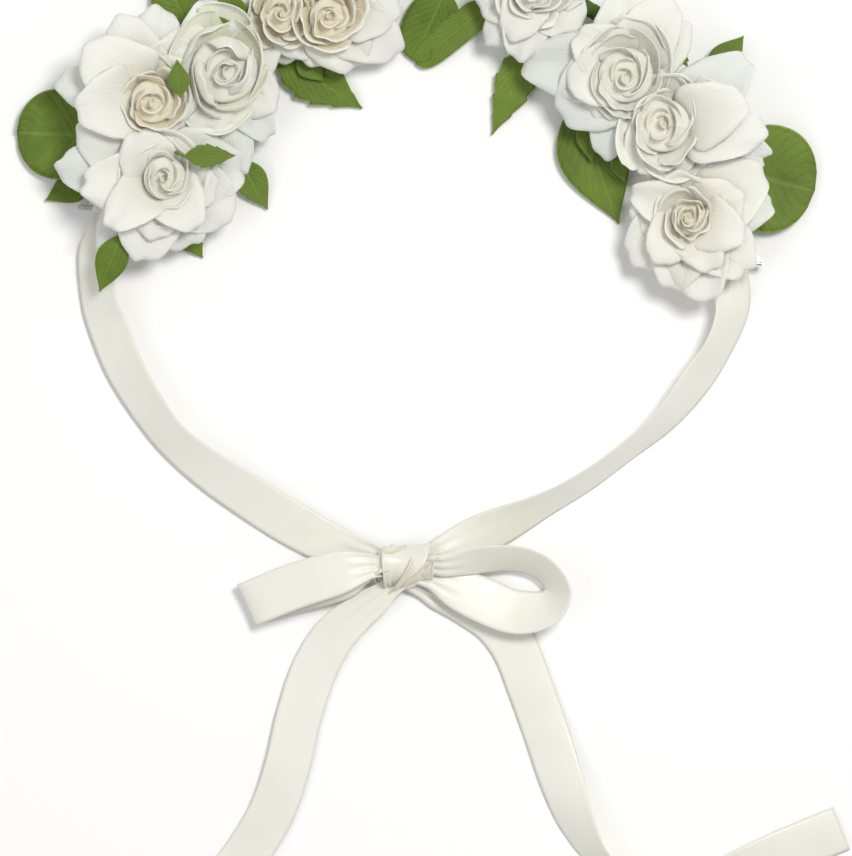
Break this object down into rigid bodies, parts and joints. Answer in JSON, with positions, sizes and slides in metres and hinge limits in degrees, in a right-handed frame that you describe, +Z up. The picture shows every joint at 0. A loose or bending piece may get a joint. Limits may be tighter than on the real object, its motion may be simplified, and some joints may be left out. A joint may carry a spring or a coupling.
{
  "type": "flower crown",
  "caption": "Flower crown of white and cream fabric roses with green leaves on a wire band, tied at the back with an ivory satin ribbon bow.",
  "frame": {"origin": "on the plane the crown lies on, midway between the two eyes of the wire band, which is the head opening's datum", "axes": "+Z up, out of the crown as it lies on a table and as it sits on a head; +Y towards the front of the crown, away from the bow; +X to the right, along the line through both eyes"},
  "size_m": [0.2468, 0.309, 0.0307],
  "materials": {
    "petal_white": "matte",
    "petal_cream": "matte",
    "petal_green_white": "matte",
    "leaf_fabric": "matte",
    "calyx_plastic": "matte",
    "florist_tape": "matte, waxy",
    "band_wire_steel": "drawn wire",
    "satin_ribbon": "satin"
  },
  "bodies": {
    "root": {"band_wire": "band_wire_steel", "band_tape": "florist_tape", "left_eye": "band_wire_steel", "right_eye": "band_wire_steel", "rose_1_calyx": "calyx_plastic", "rose_1_outer_petals": "petal_white", "rose_1_inner_petals": "petal_cream", "rose_1_bud": "petal_cream", "rose_2_calyx": "calyx_plastic", "rose_2_outer_petals": "petal_white", "rose_2_inner_petals": "petal_cream", "rose_2_bud": "petal_cream", "rose_3_calyx": "calyx_plastic", "rose_3_outer_petals": "petal_white", "rose_3_inner_petals": "petal_green_white", "rose_3_bud": "petal_green_white", "rose_4_calyx": "calyx_plastic", "rose_4_outer_petals": "petal_white", "rose_4_inner_petals": "petal_cream", "rose_4_bud": "petal_cream", "rose_5_calyx": "calyx_plastic", "rose_5_outer_petals": "petal_white", "rose_5_inner_petals": "petal_cream", "rose_5_bud": "petal_cream", "rose_6_calyx": "calyx_plastic", "rose_6_outer_petals": "petal_white", "rose_6_inner_petals": "petal_white", "rose_6_bud": "petal_cream", "rose_7_calyx": "calyx_plastic", "rose_7_outer_petals": "petal_white", "rose_7_inner_petals": "petal_white", "rose_7_bud": "petal_cream", "rose_8_calyx": "calyx_plastic", "rose_8_outer_petals": "petal_white", "rose_8_inner_petals": "petal_white", "rose_8_bud": "petal_green_white", "rose_9_calyx": "calyx_plastic", "rose_9_outer_petals": "petal_white", "rose_9_inner_petals": "petal_white", "rose_9_bud": "petal_cream", "rose_10_calyx": "calyx_plastic", "rose_10_outer_petals": "petal_white", "rose_10_inner_petals": "petal_cream", "rose_10_bud": "petal_cream", "leaf_spray_1": "leaf_fabric", "leaf_spray_2": "leaf_fabric", "leaf_spray_3": "leaf_fabric", "leaf_spray_4": "leaf_fabric", "leaf_spray_5": "leaf_fabric", "leaf_spray_6": "leaf_fabric", "leaf_spray_7": "leaf_fabric", "leaf_spray_8": "leaf_fabric", "leaf_spray_9": "leaf_fabric"},
    "ties": {"left_tie": "satin_ribbon", "right_tie": "satin_ribbon", "bow_knot": "satin_ribbon"},
    "left_loop": {"left_loop": "satin_ribbon"},
    "right_loop": {"right_loop": "satin_ribbon"},
    "left_tail": {"left_tail": "satin_ribbon"},
    "right_tail": {"right_tail": "satin_ribbon"}
  },
  "joints": [
    {"name": "ties_fold", "type": "hinge", "parent": "root", "child": "ties", "pos_m": [0, 0, 0.0055], "axis": [1, 0, 0], "range_deg": [-3, 90]},
    {"name": "left_loop_lift", "type": "hinge", "parent": "ties", "child": "left_loop", "pos_m": [-0.0044, -0.0922, 0.0094], "axis": [-0.3697, 0.9292, 0], "range_deg": [0, 45]},
    {"name": "right_loop_lift", "type": "hinge", "parent": "ties", "child": "right_loop", "pos_m": [0.0102, -0.092, 0.0096], "axis": [0.1005, -0.9949, 0], "range_deg": [0, 45]},
    {"name": "left_tail_droop", "type": "hinge", "parent": "ties", "child": "left_tail", "pos_m": [-0.0009, -0.0984, 0.0044], "axis": [0.722, -0.6919, 0], "range_deg": [0, 75]},
    {"name": "right_tail_droop", "type": "hinge", "parent": "ties", "child": "right_tail", "pos_m": [0.0084, -0.0976, 0.002], "axis": [0.2892, 0.9573, 0], "range_deg": [0, 70]}
  ]
}
